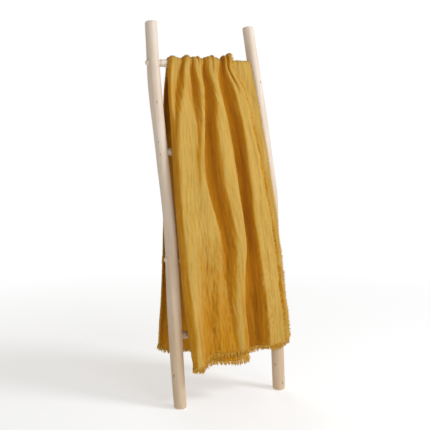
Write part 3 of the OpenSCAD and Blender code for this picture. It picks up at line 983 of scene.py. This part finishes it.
def cloth_material():
    """Cotton whose colour follows the tone kept in the mesh's cloth_place, a painted shade: lit colour on
    the ridges, shaded colour in the folds and darker still in the deepest one. It has streaks along the
    warp.
    """
    material, tree, shader = new_material("crinkled_cotton")
    source = tree.nodes.new("ShaderNodeAttribute")
    source.attribute_name = "cloth_place"
    on_cloth = source.outputs["Vector"]
    split = tree.nodes.new("ShaderNodeSeparateXYZ")
    tree.links.new(on_cloth, split.inputs[0])
    tone = split.outputs["Z"]
    patches = noise(tree, on_cloth, (9, 4, 1), 3.0)
    streaks = noise(tree, on_cloth, (120, 9, 1), 3.0, 0.6)
    slubs = noise(tree, on_cloth, (900, 40, 1), 2.0, 0.6)
    ridge = ramp(tree, patches, (0.35, LIT_RIDGE_COLOURS[0]), (0.65, LIT_RIDGE_COLOURS[1]))
    hollow = ramp(tree, patches, (0.35, SHADED_HOLLOW_COLOURS[0]), (0.65, SHADED_HOLLOW_COLOURS[1]))
    # Painted shade: the tone blends the lit ridge colour into the shaded hollow colour, and then into the
    # darker deep colour.
    base = mix_colour(tree, share_between(tree, tone, *LIT_RIDGE_TONES, kind="SMOOTHSTEP"), hollow, ridge)
    base = mix_colour(tree, share_between(tree, tone, *DEEP_SHADE_TONES), base, DEEP_SHADE_COLOUR)
    streak_colour = ramp(tree, streaks, (0.34, (0.84, 0.77, 0.60)), (0.58, WHITE))
    base = mix_colour(tree, 0.85, base, streak_colour, "MULTIPLY")
    slub_colour = ramp(tree, slubs, (0.35, (0.90, 0.87, 0.80)), (0.6, WHITE))
    base = mix_colour(tree, 0.8, base, slub_colour, "MULTIPLY")
    tree.links.new(base, shader.inputs["Base Color"])
    warp = noise(tree, on_cloth, (420, 26, 1), 3.0, 0.65)
    cells = noise(tree, on_cloth, (260, 190, 1))
    weave = noise(tree, on_cloth, (1500, 1500, 1), 1.0)
    normal = bump(tree, warp, 0.9, 0.0024)
    normal = bump(tree, cells, 0.60, 0.0014, normal)
    normal = bump(tree, weave, 0.25, 0.0004, normal)
    tree.links.new(normal, shader.inputs["Normal"])
    set_inputs(shader, Roughness=0.92, Specular_IOR_Level=0.12,
               Sheen_Weight=0.14, Sheen_Roughness=0.45, Sheen_Tint=(1.0, 0.92, 0.70, 1))
    return material


def yarn_material():
    material, tree, shader = new_material("loose_yarn")
    coordinates = tree.nodes.new("ShaderNodeTexCoord")
    grain = noise(tree, coordinates.outputs["Object"], (260, 260, 90))
    colour = ramp(tree, grain, (0.3, YARN_COLOURS[0]), (0.7, YARN_COLOURS[1]))
    tree.links.new(colour, shader.inputs["Base Color"])
    set_inputs(shader, Roughness=0.9, Specular_IOR_Level=0.1)
    return material


def wood_material(name, rotation, along_axis, warm):
    """Peeled pale wood with its grain along one axis, a few dark specks, and painted shade with painted
    warm bounce light from the quilt that make it darker and warmer low down.
    """
    material, tree, shader = new_material(name)
    coordinates = tree.nodes.new("ShaderNodeTexCoord")
    in_place = coordinates.outputs["Object"]
    turned = mapped(tree, in_place, (1, 1, 1), rotation)

    def stretched(across, along):
        scale = [across] * 3
        scale[along_axis] = along
        return tuple(scale)

    grain = noise(tree, turned, stretched(95.0, 2.4), 4.0, 0.6)
    clouds = noise(tree, turned, stretched(16.0, 3.5), 3.0, 0.55)
    fibres = noise(tree, turned, stretched(420.0, 14.0))
    base = ramp(tree, clouds, (0.34, warm), (0.62, PALE_WOOD))
    lines = ramp(tree, grain, (0.30, (0.84, 0.79, 0.72)), (0.55, WHITE))
    base = mix_colour(tree, 0.65, base, lines, "MULTIPLY")
    thin = ramp(tree, fibres, (0.35, (0.93, 0.91, 0.88)), (0.55, WHITE))
    base = mix_colour(tree, 0.7, base, thin, "MULTIPLY")
    specks = node(tree, "ShaderNodeTexVoronoi", Scale=1.0)
    tree.links.new(mapped(tree, turned, stretched(26.0, 13.0)), specks.inputs["Vector"])
    speck = ramp(tree, specks.outputs["Distance"], (0.045, WHITE), (0.11, BLACK))
    base = mix_colour(tree, speck, base, DARK_WOOD)
    split = tree.nodes.new("ShaderNodeSeparateXYZ")
    tree.links.new(in_place, split.inputs[0])
    # Darker and warmer towards the bottom: painted shade and painted warm bounce light from the quilt.
    low_shade = ramp(tree, split.outputs["Z"], (0.25, LOW_SHADE_WOOD), (1.0, WHITE))
    base = mix_colour(tree, 1.0, base, low_shade, "MULTIPLY")
    tree.links.new(base, shader.inputs["Base Color"])
    rough = ramp(tree, grain, (0.3, grey(0.62)), (0.7, grey(0.5)))
    tree.links.new(rough, shader.inputs["Roughness"])
    normal = bump(tree, grain, 0.35, 0.0012)
    normal = bump(tree, clouds, 0.35, 0.004, normal)
    normal = bump(tree, fibres, 0.25, 0.0004, normal)
    tree.links.new(normal, shader.inputs["Normal"])
    set_inputs(shader, Specular_IOR_Level=0.35)
    return material


def steel_material():
    material, tree, shader = new_material("screw_steel")
    coordinates = tree.nodes.new("ShaderNodeTexCoord")
    scratches = noise(tree, coordinates.outputs["Object"], (900, 900, 900), 3.0)
    colour = ramp(tree, scratches, (0.3, (0.42, 0.41, 0.40)), (0.7, (0.60, 0.59, 0.58)))
    tree.links.new(colour, shader.inputs["Base Color"])
    rough = ramp(tree, scratches, (0.3, grey(0.28)), (0.7, grey(0.42)))
    tree.links.new(rough, shader.inputs["Roughness"])
    set_inputs(shader, Metallic=1.0)
    return material


def dress(thing, material):
    thing.data.materials.clear()
    thing.data.materials.append(material)


pole_wood = wood_material("pole_wood", (LEAN, 0, 0), 2, WARM_POLE_WOOD)
rung_wood = wood_material("rung_wood", (0, 0, 0), 0, WARM_RUNG_WOOD)
screw_steel = steel_material()
cotton = cloth_material()
yarn = yarn_material()

for name, cad_node in frame["nodes"].items():
    if name.startswith("pole"):
        dress(cad_node, pole_wood)
    elif name.startswith("rung"):
        dress(cad_node, rung_wood)
    elif name == "joint_screws":
        dress(cad_node, screw_steel)
dress(quilt, cotton)
for piece in (front_fringe, back_fringe, side_fray):
    dress(piece, yarn)

# ------------------------ what moves with what
for piece in (quilt, front_fringe, back_fringe, side_fray):
    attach(piece, "folded_quilt")
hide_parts("quilt")
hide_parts("front_fringe")
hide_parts("back_fringe")


# ------------------------ studio
FLOOR_HALF_SIZE = 14
FLOOR_DROP = 0.0005
FLOOR_COLOUR = (0.74, 0.785, 0.83, 1)
FLOOR_GLOW = 0.45
FLOOR_FADE = (1.0, 2.6)
WORLD_COLOUR = (1.0, 0.88, 0.76)
WORLD_STRENGTH = 0.275
LIGHT_TARGET = Vector((0, 0, 0.75))


def add_floor():
    """A pale floor that turns into plain white away from the object."""
    mesh = bpy.data.meshes.new("floor")
    far = FLOOR_HALF_SIZE
    corners = [(-far, -far, 0), (far, -far, 0), (far, far, 0), (-far, far, 0)]
    mesh.from_pydata(corners, [], [(0, 1, 2, 3)])
    floor = bpy.data.objects.new("floor", mesh)
    floor.location.z = cad_low.z - FLOOR_DROP
    scene.collection.objects.link(floor)
    material, tree, shader = new_material("studio_floor")
    coordinates = tree.nodes.new("ShaderNodeTexCoord")
    reach = node(tree, "ShaderNodeVectorMath")
    reach.operation = "LENGTH"
    tree.links.new(coordinates.outputs["Object"], reach.inputs[0])
    white = node(tree, "ShaderNodeEmission", Color=(1, 1, 1, 1), Strength=1.0)
    join = tree.nodes.new("ShaderNodeMixShader")
    tree.links.new(share_between(tree, reach.outputs["Value"], *FLOOR_FADE), join.inputs["Fac"])
    tree.links.new(shader.outputs["BSDF"], join.inputs[1])
    tree.links.new(white.outputs["Emission"], join.inputs[2])
    tree.links.new(join.outputs["Shader"], tree.nodes["Material Output"].inputs["Surface"])
    set_inputs(shader, Base_Color=FLOOR_COLOUR, Roughness=0.8, Specular_IOR_Level=0.1,
               Emission_Color=(1, 1, 1, 1), Emission_Strength=FLOOR_GLOW)
    floor.data.materials.append(material)


def add_area_light(name, azimuth, elevation, distance, size, power, colour):
    """A round light that faces LIGHT_TARGET, in degrees, metres and watts."""
    direction = direction_to(azimuth, elevation)
    data = bpy.data.lights.new(name, "AREA")
    data.shape = "DISK"
    data.size = size
    data.energy = power
    data.color = colour
    light = bpy.data.objects.new(name, data)
    light.location = LIGHT_TARGET + direction * distance
    light.rotation_euler = facing(direction)
    scene.collection.objects.link(light)


def set_world(colour, strength):
    """White behind the object, and a dimmer, warmer, even fill on it."""
    world = bpy.data.worlds.new("studio")
    world.use_nodes = True
    scene.world = world
    tree = world.node_tree
    background = tree.nodes["Background"]
    background.inputs["Color"].default_value = (*colour, 1)
    background.inputs["Strength"].default_value = strength
    seen = node(tree, "ShaderNodeBackground", Color=(1, 1, 1, 1), Strength=1.0)
    rays = tree.nodes.new("ShaderNodeLightPath")
    join = tree.nodes.new("ShaderNodeMixShader")
    tree.links.new(rays.outputs["Is Camera Ray"], join.inputs["Fac"])
    tree.links.new(background.outputs["Background"], join.inputs[1])
    tree.links.new(seen.outputs["Background"], join.inputs[2])
    tree.links.new(join.outputs["Shader"], tree.nodes["World Output"].inputs["Surface"])


add_floor()
set_world(WORLD_COLOUR, WORLD_STRENGTH)
add_area_light("key", azimuth=44, elevation=35, distance=4.2, size=1.5, power=84,
               colour=WHITE)
add_area_light("front", azimuth=4, elevation=22, distance=4.5, size=2.6, power=40,
               colour=(1.0, 0.97, 0.92))
add_area_light("back", azimuth=165, elevation=35, distance=4.5, size=2.6, power=36,
               colour=(1.0, 0.97, 0.94))
scene.view_settings.view_transform = "Standard"
